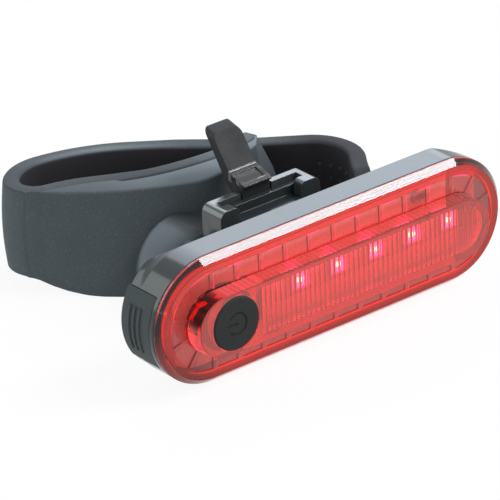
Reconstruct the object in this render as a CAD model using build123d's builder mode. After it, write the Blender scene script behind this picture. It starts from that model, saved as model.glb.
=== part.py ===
from build123d import *
import os
from math import cos, hypot, radians, sin

# Rechargeable rear bike light on a rubber seat-post strap, in millimetres.
# X runs along the light, -Y is the way the lens faces, +Z is up.
# The origin is the middle of the flat underside of the housing's side wall.
# Depths are counted backwards from the rim where lens and housing meet.

# Outline and shell of the light
light_length = 76.0
light_height = 23.2
side_depth = 5.5
back_depth = 9.6
back_inset = 3.2
shell_wall = 1.6
back_chamfer = 0.6
pad_rounding = 1.0
slope_start = 1.6
slope_rate = 0.86
flange_depth = 1.9
block_depth = 8.7
block_foot = 1.1
block_end = 6.6
fit_gap = 0.1

# Lens
lens_lip = 0.3
lens_step = 1.4
shoulder_inset = 1.0
shoulder_width = 1.7
window_rise = 3.5
window_height = 11.0
window_draft = 0.15
window_chamfer = 0.1
lens_floor = 0.5
lens_rim_width = 2.0
window_wall = 1.2
cells_per_side = 10
cells_per_end = 5
cell_depth = 0.3
cell_rib = 0.9
cell_margin = 0.15
flute_pitch = 1.07
flute_height = 0.2

# Seal in the rim
seal_width = 0.6
seal_depth = 0.6
seal_inset = 0.55

# Power button and its switch
button_diameter = 9.7
button_inset = 2.1
button_proud = 0.2
button_travel = 0.5
button_flange = 0.85
flange_thickness = 0.4
stem_diameter = 3.2
button_chamfer = 0.25
symbol_radius = 1.9
symbol_line = 0.4
symbol_depth = 0.15
symbol_opening = 80.0
switch_size = 6.0
switch_height = 1.45
plunger_diameter = 3.0
plunger_length = 1.1
plunger_step = 0.55

# Circuit board and what is soldered to it
board_depth = 2.2
board_thickness = 1.0
board_gap = 0.5
led_count = 5
led_from_button = 16.8
led_from_slope = 2.3
led_length = 3.5
led_width = 2.8
led_height = 0.8
led_dish = 2.2
led_dish_depth = 0.3
chip_length = 5.0
chip_width = 4.0
chip_height = 0.7
chip_from_button = 4.8
resistor_length = 1.6
resistor_width = 0.8
resistor_height = 0.5
resistor_gap = 1.6
resistor_from_button = 10.8

# Screws that hold the board
screw_from_button = 11.6
screw_from_end = 5.1
screw_spread = 5.8
screw_diameter = 1.6
screw_head = 2.8
screw_head_height = 0.9
screw_cross = 1.6
screw_cross_width = 0.4
screw_cross_depth = 0.4
screw_length = 4.2
boss_diameter = 3.4

# Battery, its tape and its two wires
battery_from_slope = 9.0
battery_width = 10.0
battery_from_button = 18.3
battery_gap = 0.9
battery_edge_flat = 0.25
tape_thickness = 0.4
wire_diameter = 0.8
wire_sides = 8
wire_straight = 1.5
wire_spacing = 5.0

# Charging socket and the rubber plug over it
socket_width = 7.8
socket_height = 2.7
socket_depth = 5.6
socket_wall = 0.3
socket_rounding = 1.2
socket_setback = 1.0
tongue_width = 4.2
tongue_height = 0.7
tongue_length = 3.6
end_wall = 2.9
plug_half_angle = 34.5
plug_skin = 1.5
plug_front = 1.3
plug_rear = 9.2
plug_chamfer = 0.6
plug_ledge = 0.7
plug_side_gap = 0.5
plug_nub = 2.2
plug_ribs = 3
plug_rib_pitch = 1.3
plug_rib_width = 0.5
plug_rib_height = 0.3
plug_rib_angle = 20.0

# Rail on the back of the housing
neck_width = 13.2
neck_top = 5.9
rail_width = 17.2
rail_thickness = 1.4
rail_reach = 17.5
rail_top = 7.6
rail_bottom = -7.6
pad_width = 19.0
pad_height = 16.0
pad_thickness = 1.4
slide_gap = 0.2

# Bracket that the rail slides into
plate_thickness = 1.3
plate_top = 8.6
ear_wall = 2.2
lip_thickness = 2.1
lip_overlap = 1.8
stop_height = 1.6
ear_rounding = 1.6
lip_rounding = 1.0
wing_width = 2.2
wing_top = 2.4
wing_thickness = 1.0

# Latch: a springy tongue in the back plate, with a hook and a thumb lever
latch_width = 6.0
latch_slot = 0.4
hinge_gap = 0.05
pivot_rise = 2.4
hook_overhang = 0.4
hook_clearance = 1.9
hook_undercut = 0.2
hook_nose = 0.35
hook_root = 3.3
hook_slope = (4.1, 1.35)
lever_front = (4.3, 5.7)
lever_tip = (2.4, 0.6)
lever_foot = (3.1, -0.5)
lever_rounding = 1.0
hook_panel_depth = 0.25
hook_panel_margin = 0.8

# Rubber strap: plan points are X and depth of the middle of the band
strap_width = 18.5
strap_thickness = 3.0
strap_rise = 3.4
strap_edge = 1.0
rise_start_x = -16.0
rise_end_x = 12.0
seam_start_x = -13.0
seam_gap = 0.2
band_root = (13.5, 23.0)
nose_start = (13.5, 16.6)
nose_turn = (20.2, 14.9)
right_front = (23.2, 19.6)
right_rear = (21.4, 31.4)
rear_middle = (-3.4, 49.9)
rear_left = (-18.9, 56.4)
left_rear = (-27.0, 53.2)
left_front = (-24.6, 46.3)
front_left = (-9.8, 39.9)
front_right = (0.9, 34.2)
tail_end = (10.9, 34.0)

# Strap head: outer layer in front of the tail
head_start = (-28.6, 47.0)
head_heading = -40.7
head_left = (-20.0, 40.4)
head_middle = (-6.1, 29.8)
head_right = (4.5, 28.4)
head_nose = (8.9, 30.0)
nose_tip = (12.1, 33.1)

# Cradle: block of the strap that grips the bracket
cradle_right = 13.5
cradle_depth = 11.5
cradle_top = 2.4
cradle_bottom = -9.0
cradle_rounding = 3.0
cheek_width = 3.5
cheek_lip = 1.7
rubber_gap = 0.1
relief_depth = 2.9
relief_side_gap = 0.3
nose_slope_top_x = 20.5
nose_slope_foot_x = 15.5
nub_size = 1.0
nub_sides = 8
nub_height = 0.35
nub_columns = 4
nub_rows = 3
nub_pitch = 2.4

# Derived places
half_height = light_height / 2
end_x = (light_length - light_height) / 2
rim_y = -side_depth / 2
button_x = -end_x + button_inset
led_first_x = button_x + led_from_button
chip_x = button_x + chip_from_button
resistor_x = button_x + resistor_from_button
screw_places = [(end_x - screw_from_end, screw_spread), (button_x + screw_from_button, -screw_spread)]
back_slope = back_inset / (back_depth - side_depth)
shoulder_radius = half_height - shoulder_inset
cell_outer = shoulder_radius - shoulder_width
window_radius = window_height / 2
window_base = window_radius + window_draft
cell_inner = window_base + cell_margin
face_level = lens_step + window_rise
flute_side = hypot(flute_pitch / 2, flute_height)
hollow_start = button_x + button_diameter / 2 + fit_gap + window_wall
inner_radius = half_height - shell_wall
inner_back = back_depth - shell_wall
slope_x = end_x + slope_start
led_pitch = (slope_x - led_from_slope - led_first_x) / (led_count - 1)
slope_wall = shell_wall * hypot(1, slope_rate)
light_left = -end_x - half_height
end_wall_x = light_left + plug_skin + end_wall
board_back = board_depth + board_thickness
board_radius = inner_radius - board_gap
board_end = slope_x + (side_depth - slope_wall - board_back - board_gap / 2) / slope_rate
plunger_front = board_depth - switch_height - plunger_step
screw_tip = board_depth + screw_length
battery_front = board_back + battery_gap
battery_back = inner_back - tape_thickness
battery_end = button_x + battery_from_button
battery_length = slope_x - battery_from_slope - battery_end
battery_x = battery_end + battery_length / 2
battery_rounding = (battery_back - battery_front) / 2 - battery_edge_flat
wire_level = (battery_front + battery_back) / 2
wire_bend = wire_level - board_back - fit_gap / 2
socket_x = light_left + plug_skin + socket_setback
socket_middle = board_back + socket_height / 2
rail_rear = rail_reach + rail_thickness
plate_front = rail_rear + slide_gap
plate_rear = plate_front + plate_thickness
lip_rear = rail_reach - slide_gap
ear_front = lip_rear - lip_thickness
channel_half = rail_width / 2 + slide_gap
mouth_half = rail_width / 2 - lip_overlap
ear_outside = channel_half + ear_wall
wing_outside = ear_outside + wing_width
wing_front = plate_rear - wing_thickness
stop_top = rail_bottom - slide_gap
bracket_bottom = stop_top - stop_height
pivot_z = bracket_bottom + pivot_rise
pivot_depth = plate_front + plate_thickness / 2
hinge_radius = plate_thickness / 2
hook_bottom = rail_top + hook_clearance
hook_front = rail_rear - hook_overhang
cradle_front = plate_rear + rubber_gap
cradle_left = ear_outside + rubber_gap + cheek_width
cheek_front = wing_front - cheek_lip
strap_bottom = -half_height
strap_top = strap_bottom + strap_width


def front_plane(depth):
    # Plane across the light at a depth behind the rim, facing forwards.
    return Plane((0, rim_y + depth, half_height), x_dir=(1, 0, 0), z_dir=(0, -1, 0))


def plan_plane(height):
    # Level plane at a height above the light's long axis, with depth as its second direction.
    return Plane((0, rim_y, half_height + height), x_dir=(1, 0, 0), z_dir=(0, 0, 1))


def side_plane(x):
    # Upright plane across the light, with depth to the right and height up.
    return Plane((x, rim_y, half_height), x_dir=(0, 1, 0), z_dir=(1, 0, 0))


def stadium(radius, mode=Mode.ADD):
    # Outline of the light with round ends of a given radius, about the same end centres.
    return SlotCenterToCenter(2 * end_x, 2 * radius, mode=mode)


def save(builder, name):
    builder.part.label = name
    export_step(builder.part, f"parts/{name}.step")


def ring_of_cells():
    # Flat ring between shoulder and window, divided by ribs into cells.
    cell_pitch = 2 * end_x / cells_per_side
    end_step = 180 / cells_per_end
    radial = cell_outer - cell_inner
    stadium(cell_outer)
    stadium(cell_inner, mode=Mode.SUBTRACT)
    with GridLocations(cell_pitch, 0, cells_per_side + 1, 1):
        Rectangle(cell_rib, 3 * cell_outer, mode=Mode.SUBTRACT)
    for side, first in ((1, -90), (-1, 90)):
        with Locations((side * end_x, 0)):
            with PolarLocations((cell_outer + cell_inner) / 2, cells_per_end - 1, first + end_step,
                                180 - 2 * end_step, endpoint=True):
                Rectangle(2 * radial, cell_rib, mode=Mode.SUBTRACT)


def behind_slope(wall, flange):
    # Room behind the sloping back of the right end, moved forwards by a wall, down to the flange of the rim.
    slope_side = side_depth - wall
    with BuildSketch(plan_plane(0)) as room:
        with BuildLine():
            Polyline(
                (slope_x - (2 * back_depth - slope_side) / slope_rate, 2 * back_depth),
                (slope_x + (slope_side - flange) / slope_rate, flange),
                (light_length, flange),
                (light_length, 2 * back_depth),
                close=True,
            )
        make_face()
    extrude(room.sketch, amount=light_height, both=True, mode=Mode.SUBTRACT)


def plug_section(gap, outside):
    # Section of the plug in radius and depth; the recess for it is the same, grown by a gap.
    seat = half_height - plug_skin - gap
    corner = side_depth + plug_skin / back_slope
    with BuildLine() as section:
        Polyline(
            (seat, plug_front - gap),
            (outside, plug_front - gap),
            (outside, plug_rear - plug_chamfer),
            (outside - plug_chamfer, plug_rear),
            (seat - back_slope * (plug_rear - corner), plug_rear),
            (seat, corner),
            close=True,
        )
    make_face(section.edges())


def arc_run(start, heading, points):
    # Chain of arcs through the points, each leaving in the direction in which the last arrives.
    arcs = []
    for point in points:
        arcs.append(TangentArc(start, point, tangent=heading))
        start = arcs[-1] @ 1
        heading = arcs[-1] % 1
    return arcs


end_axis = Axis((-end_x, rim_y, half_height), (0, 1, 0))
plug_plane = Plane((-end_x, rim_y, half_height), x_dir=(-1, 0, 0), z_dir=(0, 0, -1))
recess_half_angle = plug_half_angle + plug_side_gap

os.makedirs("parts", exist_ok=True)

# Cavity of the housing, with the end wall in which the charging socket sits
with BuildPart() as cavity:
    with BuildSketch(front_plane(side_depth)):
        stadium(inner_radius)
    extrude(amount=side_depth)
    with BuildSketch(front_plane(side_depth)):
        stadium(inner_radius)
    with BuildSketch(front_plane(inner_back)):
        stadium(inner_radius - back_inset)
    loft()
    with BuildSketch(front_plane(inner_back)):
        with Locations((end_wall_x - light_height, 0)):
            Rectangle(2 * light_height, light_height)
    extrude(amount=inner_back - plug_front + plug_ledge, mode=Mode.SUBTRACT)
    behind_slope(slope_wall, flange_depth - shell_wall)

# Block at the end of the housing that surrounds the plug, narrower towards the back
with BuildPart() as plug_block:
    for depth, reach in ((side_depth, block_foot), (block_depth, block_end)):
        with BuildSketch(front_plane(depth)):
            stadium(half_height)
            with Locations((light_length - end_x - reach, 0)):
                Rectangle(2 * light_length, light_height, mode=Mode.SUBTRACT)
    loft()
    chamfer(plug_block.faces().sort_by(Axis.Y)[-1].edges(), length=back_chamfer)

# Housing: side wall, tapered back, sloping right end, seal groove, plug recess, screw bosses and rail
with BuildPart() as housing:
    with BuildSketch(front_plane(side_depth)):
        stadium(half_height)
    extrude(amount=side_depth)
    with BuildSketch(front_plane(side_depth)):
        stadium(half_height)
    with BuildSketch(front_plane(back_depth)):
        stadium(half_height - back_inset)
    loft()
    chamfer(housing.faces().sort_by(Axis.Y)[-1].edges(), length=back_chamfer)
    behind_slope(0, flange_depth)
    add(plug_block.part)
    add(cavity.part, mode=Mode.SUBTRACT)
    with BuildSketch(front_plane(seal_depth + fit_gap)):
        stadium(half_height - seal_inset + fit_gap / 2)
        stadium(half_height - seal_inset - seal_width - fit_gap / 2, mode=Mode.SUBTRACT)
    extrude(amount=seal_depth + fit_gap, mode=Mode.SUBTRACT)
    with BuildSketch(plug_plane.rotated((0, -recess_half_angle, 0))):
        plug_section(fit_gap, half_height + end_wall)
    revolve(axis=end_axis, revolution_arc=2 * recess_half_angle, mode=Mode.SUBTRACT)
    with BuildSketch(side_plane(end_wall_x)):
        with Locations((socket_middle, 0)):
            Rectangle(socket_height + 2 * fit_gap, socket_width + 2 * fit_gap)
    extrude(amount=2 * end_wall, both=True, mode=Mode.SUBTRACT)
    with BuildSketch(front_plane(back_depth - shell_wall / 2)):
        with Locations(*screw_places):
            Circle(boss_diameter / 2)
    extrude(amount=back_depth - shell_wall / 2 - board_back)
    with BuildSketch(front_plane(screw_tip + fit_gap)):
        with Locations(*screw_places):
            Circle(screw_diameter / 2 + fit_gap / 2)
    extrude(amount=screw_length, mode=Mode.SUBTRACT)
    with BuildSketch(front_plane(back_depth + pad_thickness)):
        RectangleRounded(pad_width, pad_height, pad_rounding)
    extrude(amount=pad_thickness + shell_wall / 2)
    with BuildSketch(front_plane(rail_rear)):
        with Locations((0, (neck_top + rail_bottom) / 2)):
            Rectangle(neck_width, neck_top - rail_bottom)
    extrude(amount=rail_rear - back_depth)
    with BuildSketch(front_plane(rail_rear)):
        with Locations((0, (rail_top + rail_bottom) / 2)):
            Rectangle(rail_width, rail_top - rail_bottom)
    extrude(amount=rail_thickness)
    chamfer(housing.faces().sort_by(Axis.Y)[-1].edges(), length=slide_gap)
save(housing, "housing")

# Hollow behind the window, its front face fluted
with BuildPart() as window_hollow:
    flute_count = int(2 * (end_x + window_radius) / flute_pitch)
    flute_root = window_wall - face_level
    with BuildSketch(front_plane(0)):
        stadium(window_radius - window_wall)
        with Locations((hollow_start - light_length, 0)):
            Rectangle(2 * light_length, light_height, mode=Mode.SUBTRACT)
    extrude(amount=face_level - window_wall)
    with BuildSketch(plan_plane(0)):
        with GridLocations(flute_pitch, 0, flute_count, 1):
            with Locations((0, flute_root)):
                Triangle(a=flute_pitch, b=flute_side, c=flute_side, align=(Align.CENTER, Align.MIN))
    extrude(amount=light_height, both=True, mode=Mode.SUBTRACT)

# Lens: bevelled rim, shoulder, ring of cells and raised window with the button bore
with BuildPart() as lens:
    with BuildSketch(front_plane(0)):
        stadium(half_height)
    extrude(amount=lens_lip)
    with BuildSketch(front_plane(-lens_lip)):
        stadium(half_height)
    with BuildSketch(front_plane(-lens_step)):
        stadium(shoulder_radius)
    loft()
    with BuildSketch(front_plane(-lens_step)):
        stadium(window_base)
    with BuildSketch(front_plane(-face_level)):
        stadium(window_radius)
    loft()
    chamfer(lens.faces().sort_by(Axis.Y)[0].edges(), length=window_chamfer)
    with BuildSketch(front_plane(-lens_step)):
        ring_of_cells()
    extrude(amount=-cell_depth, mode=Mode.SUBTRACT)
    with BuildSketch(front_plane(0)):
        stadium(half_height - lens_rim_width)
    extrude(amount=lens_floor, mode=Mode.SUBTRACT)
    add(window_hollow.part, mode=Mode.SUBTRACT)
    with BuildSketch(front_plane(0)):
        with Locations((button_x, 0)):
            Circle(button_diameter / 2 + fit_gap)
    extrude(amount=face_level, mode=Mode.SUBTRACT)
save(lens, "lens")

# Rubber seal in the groove of the rim
with BuildPart() as lens_seal:
    with BuildSketch(front_plane(seal_depth)):
        stadium(half_height - seal_inset)
        stadium(half_height - seal_inset - seal_width, mode=Mode.SUBTRACT)
    extrude(amount=seal_depth)
save(lens_seal, "lens_seal")

# Power button: cap with an engraved power symbol, flange and stem
button_rear = -lens_floor + fit_gap / 2
with BuildPart() as power_button:
    with BuildSketch(front_plane(button_rear)):
        with Locations((button_x, 0)):
            Circle(button_diameter / 2)
    extrude(amount=face_level + button_proud + button_rear)
    chamfer(power_button.faces().sort_by(Axis.Y)[0].edges(), length=button_chamfer)
    with BuildSketch(front_plane(button_rear + flange_thickness)):
        with Locations((button_x, 0)):
            Circle(button_diameter / 2 + button_flange)
    extrude(amount=flange_thickness)
    with BuildSketch(front_plane(plunger_front - fit_gap / 2)):
        with Locations((button_x, 0)):
            Circle(stem_diameter / 2)
    extrude(amount=plunger_front - fit_gap / 2 - button_rear)
    with BuildSketch(front_plane(-face_level - button_proud)):
        with BuildLine() as symbol:
            CenterArc((button_x, 0), symbol_radius, 180 + symbol_opening / 2, 360 - symbol_opening)
        trace(symbol.edges(), line_width=symbol_line)
        with Locations((button_x - symbol_radius / 2, 0)):
            SlotOverall(symbol_radius + symbol_line, symbol_line)
    extrude(amount=-symbol_depth, mode=Mode.SUBTRACT)
save(power_button, "power_button")

# Push switch under the button
with BuildPart() as switch_body:
    with BuildSketch(front_plane(board_depth)):
        with Locations((button_x, 0)):
            RectangleRounded(switch_size, switch_size, switch_size / 10)
    extrude(amount=switch_height)
    with BuildSketch(front_plane(board_depth - switch_height)):
        with Locations((button_x, 0)):
            Circle(plunger_diameter / 2 + fit_gap)
    extrude(amount=-(plunger_length + button_travel - plunger_step + fit_gap), mode=Mode.SUBTRACT)
save(switch_body, "switch_body")

with BuildPart() as switch_plunger:
    with BuildSketch(front_plane(plunger_front)):
        with Locations((button_x, 0)):
            Circle(plunger_diameter / 2)
    extrude(amount=-plunger_length)
save(switch_plunger, "switch_plunger")

# Circuit board, cut short of the end wall and of the sloping back
with BuildPart() as circuit_board:
    with BuildSketch(front_plane(board_back)):
        stadium(board_radius)
        with Locations((end_wall_x + board_gap - light_height, 0), (board_end + light_height, 0)):
            Rectangle(2 * light_height, light_height, mode=Mode.SUBTRACT)
        with Locations(*screw_places):
            Circle(screw_diameter / 2 + fit_gap, mode=Mode.SUBTRACT)
    extrude(amount=board_thickness)
save(circuit_board, "circuit_board")

# Light-emitting diodes in a row, each with a round dish in its front
for number in range(led_count):
    with BuildPart() as led:
        with BuildSketch(front_plane(board_depth)):
            with Locations((led_first_x + led_pitch * number, 0)):
                Rectangle(led_length, led_width)
        extrude(amount=led_height)
        with BuildSketch(front_plane(board_depth - led_height)):
            with Locations((led_first_x + led_pitch * number, 0)):
                Circle(led_dish / 2)
        extrude(amount=-led_dish_depth, mode=Mode.SUBTRACT)
    save(led, f"led_{number + 1}")

# Charge controller and two resistors on the back of the board
with BuildPart() as charge_controller:
    with BuildSketch(front_plane(board_back + chip_height)):
        with Locations((chip_x, 0)):
            Rectangle(chip_length, chip_width)
    extrude(amount=chip_height)
save(charge_controller, "charge_controller")

for number, side in enumerate((-1, 1)):
    with BuildPart() as resistor:
        with BuildSketch(front_plane(board_back + resistor_height)):
            with Locations((resistor_x, side * resistor_gap)):
                Rectangle(resistor_length, resistor_width)
        extrude(amount=resistor_height)
    save(resistor, f"resistor_{number + 1}")

# Board screws with a cross recess
for number, (screw_x, screw_z) in enumerate(screw_places):
    with BuildPart() as screw:
        with BuildSketch(front_plane(board_depth)):
            with Locations((screw_x, screw_z)):
                Circle(screw_head / 2)
        extrude(amount=screw_head_height)
        with BuildSketch(front_plane(screw_tip)):
            with Locations((screw_x, screw_z)):
                Circle(screw_diameter / 2)
        extrude(amount=screw_length)
        with BuildSketch(front_plane(board_depth - screw_head_height)):
            with Locations((screw_x, screw_z)):
                Rectangle(screw_cross, screw_cross_width)
                Rectangle(screw_cross_width, screw_cross)
        extrude(amount=-screw_cross_depth, mode=Mode.SUBTRACT)
    save(screw, f"board_screw_{number + 1}")

# Flat battery with rounded long sides, and the tape that holds it
with BuildPart() as battery:
    with BuildSketch(side_plane(battery_end)):
        with Locations((wire_level, 0)):
            RectangleRounded(battery_back - battery_front, battery_width, battery_rounding)
    extrude(amount=battery_length)
save(battery, "battery")

with BuildPart() as battery_tape:
    with BuildSketch(front_plane(inner_back)):
        with Locations((battery_x, 0)):
            Rectangle(battery_length - battery_width, battery_width - 2 * battery_rounding)
    extrude(amount=tape_thickness)
save(battery_tape, "battery_tape")

# Battery wires: straight out of the battery, then a quarter turn onto the board
for name, side in (("wire_positive", 1), ("wire_negative", -1)):
    wire_z = side * wire_spacing / 2
    bend_x = battery_end - wire_straight
    bend_axis = Axis((bend_x, rim_y + wire_level - wire_bend, half_height + wire_z), (0, 0, 1))
    with BuildPart() as wire:
        with BuildSketch(side_plane(bend_x)):
            with Locations((wire_level, wire_z)):
                RegularPolygon(wire_diameter / 2, wire_sides)
        extrude(amount=wire_straight)
        with BuildSketch(side_plane(bend_x)):
            with Locations((wire_level, wire_z)):
                RegularPolygon(wire_diameter / 2, wire_sides)
        revolve(axis=bend_axis, revolution_arc=90)
    save(wire, name)

# Charging socket: steel shell and the contact tongue in it
with BuildPart() as usb_shell:
    with BuildSketch(side_plane(socket_x)):
        with Locations((socket_middle, 0)):
            RectangleRounded(socket_height, socket_width, socket_rounding)
    extrude(amount=socket_depth)
    with BuildSketch(side_plane(socket_x)):
        with Locations((socket_middle, 0)):
            RectangleRounded(socket_height - 2 * socket_wall, socket_width - 2 * socket_wall,
                             socket_rounding - socket_wall)
    extrude(amount=socket_depth - socket_wall, mode=Mode.SUBTRACT)
save(usb_shell, "usb_shell")

with BuildPart() as usb_tongue:
    with BuildSketch(side_plane(socket_x + socket_depth - socket_wall)):
        with Locations((socket_middle, 0)):
            Rectangle(tongue_height, tongue_width)
    extrude(amount=-tongue_length)
save(usb_tongue, "usb_tongue")

# Rubber plug over the socket, with a nub into it and grip ribs outside
with BuildPart() as usb_plug:
    with BuildSketch(plug_plane.rotated((0, -plug_half_angle, 0))):
        plug_section(0, half_height)
    revolve(axis=end_axis, revolution_arc=2 * plug_half_angle)
    with BuildSketch(side_plane(light_left + plug_skin / 2)):
        with Locations((socket_middle, 0)):
            RectangleRounded(socket_height - 2 * socket_wall - 2 * fit_gap,
                             socket_width - 2 * socket_wall - 2 * fit_gap, socket_rounding - socket_wall)
    extrude(amount=plug_nub + plug_skin / 2)
    with BuildSketch(plug_plane.rotated((0, -plug_rib_angle, 0))):
        with Locations((half_height, (plug_front + plug_rear) / 2)):
            with GridLocations(0, plug_rib_pitch, 1, plug_ribs):
                Rectangle(2 * plug_rib_height, plug_rib_width)
    revolve(axis=end_axis, revolution_arc=2 * plug_rib_angle)
save(usb_plug, "usb_plug")

# Bracket: channel for the rail, closed below by a stop, with wings gripped by the strap
with BuildPart() as bracket:
    with BuildSketch(plan_plane(bracket_bottom)):
        with Locations((0, (ear_front + plate_rear) / 2)):
            Rectangle(2 * ear_outside, plate_rear - ear_front)
    extrude(amount=plate_top - bracket_bottom)
    with BuildSketch(plan_plane(stop_top)):
        with Locations((0, (lip_rear + plate_front) / 2)):
            Rectangle(2 * channel_half, plate_front - lip_rear)
        with Locations((0, ear_front)):
            Rectangle(2 * mouth_half, 2 * (lip_rear - ear_front))
    extrude(amount=light_height, mode=Mode.SUBTRACT)
    ear_edges = bracket.edges().filter_by(Axis.Y).group_by(Axis.Z)[-1].sort_by(Axis.X)
    fillet([ear_edges[0], ear_edges[-1]], radius=ear_rounding)
    lip_edges = bracket.edges().filter_by(Axis.Y).group_by(Axis.Z)[-1].sort_by(Axis.X)
    fillet(lip_edges[2:4], radius=lip_rounding)
    with BuildSketch(plan_plane(bracket_bottom)):
        with Locations((0, (wing_front + plate_rear) / 2)):
            Rectangle(2 * wing_outside, wing_thickness)
    extrude(amount=wing_top - bracket_bottom)
    with BuildSketch(side_plane(0)):
        with Locations((pivot_depth, pivot_z)):
            Circle(hinge_radius + hinge_gap)
            Rectangle(2 * plate_thickness, light_height, align=(Align.CENTER, Align.MIN))
    extrude(amount=latch_width / 2 + latch_slot, both=True, mode=Mode.SUBTRACT)
save(bracket, "bracket")

# Latch: springy tongue in the slot of the back plate, with hook and thumb lever
hook_top = (hook_front + hook_slope[0], hook_bottom + hook_nose + hook_slope[1])
lever_top = (hook_top[0] + lever_front[0], hook_top[1] + lever_front[1])
with BuildPart() as latch_lever:
    with BuildSketch(side_plane(-latch_width / 2)):
        with Locations((pivot_depth, pivot_z)):
            Circle(hinge_radius)
        with BuildLine():
            Polyline(
                (plate_front, pivot_z),
                (plate_front, hook_bottom - hook_undercut),
                (hook_front, hook_bottom),
                (hook_front, hook_bottom + hook_nose),
                hook_top,
                lever_top,
                (lever_top[0] + lever_tip[0], lever_top[1] + lever_tip[1]),
                (plate_rear + lever_foot[0], hook_bottom + lever_foot[1]),
                (plate_rear, hook_bottom - hook_root),
                (plate_rear, pivot_z),
                close=True,
            )
        make_face()
    extrude(amount=latch_width)
    tip_edges = latch_lever.faces().sort_by(Axis.Z)[-1].edges().sort_by(Axis.X)
    fillet([tip_edges[0], tip_edges[-1]], radius=lever_rounding)
    slope_middle = (0, rim_y + (hook_front + hook_top[0]) / 2,
                    half_height + hook_bottom + hook_nose + hook_slope[1] / 2)
    slope_plane = Plane(slope_middle, x_dir=(1, 0, 0), z_dir=(0, -hook_slope[1], hook_slope[0]))
    with BuildSketch(slope_plane):
        Rectangle(latch_width - 2 * hook_panel_margin, hook_slope[0] - 2 * hook_panel_margin)
    extrude(amount=-hook_panel_depth, mode=Mode.SUBTRACT)
save(latch_lever, "latch_lever")

# Strap, level part: from the cradle round the nose, the back of the loop and the left bend
with BuildPart() as loop:
    with BuildSketch(plan_plane(strap_bottom)):
        with BuildLine() as loop_path:
            Line(band_root, nose_start)
            loop_arcs = arc_run(nose_start, (0, -1), [nose_turn, right_front, right_rear, rear_middle,
                                                      rear_left, left_rear, left_front])
        trace(loop_path.edges(), line_width=strap_thickness)
    extrude(amount=strap_width)
    chamfer(loop.faces().sort_by(Axis.Z)[-1].edges(), length=strap_edge)
left_heading = loop_arcs[-1] % 1

# Strap, rising part: tail of the band and the thick head in front of it, parted by a seam
with BuildPart() as front_run:
    with BuildSketch(plan_plane(strap_bottom)):
        with BuildLine():
            arc_run(head_start, (cos(radians(head_heading)), sin(radians(head_heading))),
                    [head_left, head_middle, head_right, head_nose])
            Polyline(head_nose, nose_tip, front_right)
            arc_run(left_front, left_heading, [front_left, front_right])
            Line(left_front, head_start)
        make_face()
        with BuildSketch(mode=Mode.SUBTRACT):
            with BuildLine() as seam_path:
                arc_run(left_front, left_heading, [front_left, front_right, tail_end])
            trace(seam_path.edges(), line_width=strap_thickness + 2 * seam_gap)
            with Locations((seam_start_x - light_length, left_front[1])):
                Rectangle(2 * light_length, 2 * light_length, mode=Mode.SUBTRACT)
        trace(seam_path.edges(), line_width=strap_thickness)
    extrude(amount=strap_width + strap_rise)
    rise_start = Vector(rise_start_x, strap_bottom)
    rise_end = Vector(rise_end_x, strap_bottom + strap_rise)
    rise_middle = (rise_start + rise_end) / 2
    far_side = Vector(light_length, 0)
    up = Vector(0, strap_width)
    with BuildSketch(front_plane(0)):
        with BuildLine():
            arc_run(rise_start, (1, 0), [rise_middle, rise_end])
            Polyline(rise_end, rise_end + far_side, rise_end + far_side + up, rise_end + up)
            arc_run(rise_end + up, (-1, 0), [rise_middle + up, rise_start + up])
            Polyline(rise_start + up, rise_start - far_side + up, rise_start - far_side, rise_start)
        make_face()
    extrude(amount=light_length, both=True, mode=Mode.INTERSECT)

# Cradle: block behind the bracket, with a cheek round each of its wings
with BuildPart() as cradle:
    with BuildSketch(plan_plane(cradle_bottom)):
        with Locations(((cradle_right - cradle_left) / 2, cradle_front + cradle_depth / 2)):
            Rectangle(cradle_left + cradle_right, cradle_depth)
        cheek_middle = ear_outside + rubber_gap + cheek_width / 2
        with Locations((0, (cheek_front + cradle_front) / 2)):
            with GridLocations(2 * cheek_middle, 0, 2, 1):
                Rectangle(cheek_width, cradle_front - cheek_front)
    extrude(amount=cradle_top - cradle_bottom)
    corner_edges = cradle.edges().filter_by(Axis.Y).group_by(Axis.X)[0]
    fillet(corner_edges.sort_by(Axis.Z)[-1], radius=cradle_rounding)

# Strap: all parts joined, with the pocket for the bracket and the room behind its latch
with BuildPart() as strap:
    add(loop.part)
    with BuildSketch(front_plane(cradle_front + cradle_depth / 3)):
        with BuildLine():
            Polyline((0, cradle_top), (nose_slope_foot_x, cradle_top), (nose_slope_top_x, strap_top),
                     (nose_slope_top_x, strap_top + strap_thickness), (0, strap_top + strap_thickness),
                     close=True)
        make_face()
    extrude(amount=light_length, mode=Mode.SUBTRACT)
    add(front_run.part)
    add(cradle.part)
    with BuildSketch(plan_plane(bracket_bottom - rubber_gap)):
        with Locations((0, (wing_front - rubber_gap + cradle_front) / 2)):
            Rectangle(2 * (wing_outside + rubber_gap), cradle_front - wing_front + rubber_gap)
    extrude(amount=wing_top - bracket_bottom + 2 * rubber_gap, mode=Mode.SUBTRACT)
    with BuildSketch(side_plane(0)):
        with BuildLine():
            Polyline((cradle_front, pivot_z), (cradle_front + relief_depth, strap_top),
                     (cradle_front, strap_top), close=True)
        make_face()
    extrude(amount=latch_width / 2 + relief_side_gap, both=True, mode=Mode.SUBTRACT)
    nub_arc = loop_arcs[2]
    for column in range(nub_columns):
        share = (column + 1) / (nub_columns + 1)
        inward = (nub_arc % share).rotate(Axis.Z, 90)
        spot = nub_arc @ share + inward * (strap_thickness / 2 - nub_height)
        nub_plane = Plane(plan_plane(0).from_local_coords(spot), x_dir=(0, 0, 1), z_dir=inward)
        with BuildSketch(nub_plane):
            with GridLocations(nub_pitch, 0, nub_rows, 1):
                RegularPolygon(nub_size / 2, nub_sides)
        extrude(amount=2 * nub_height)
save(strap, "strap")
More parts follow.
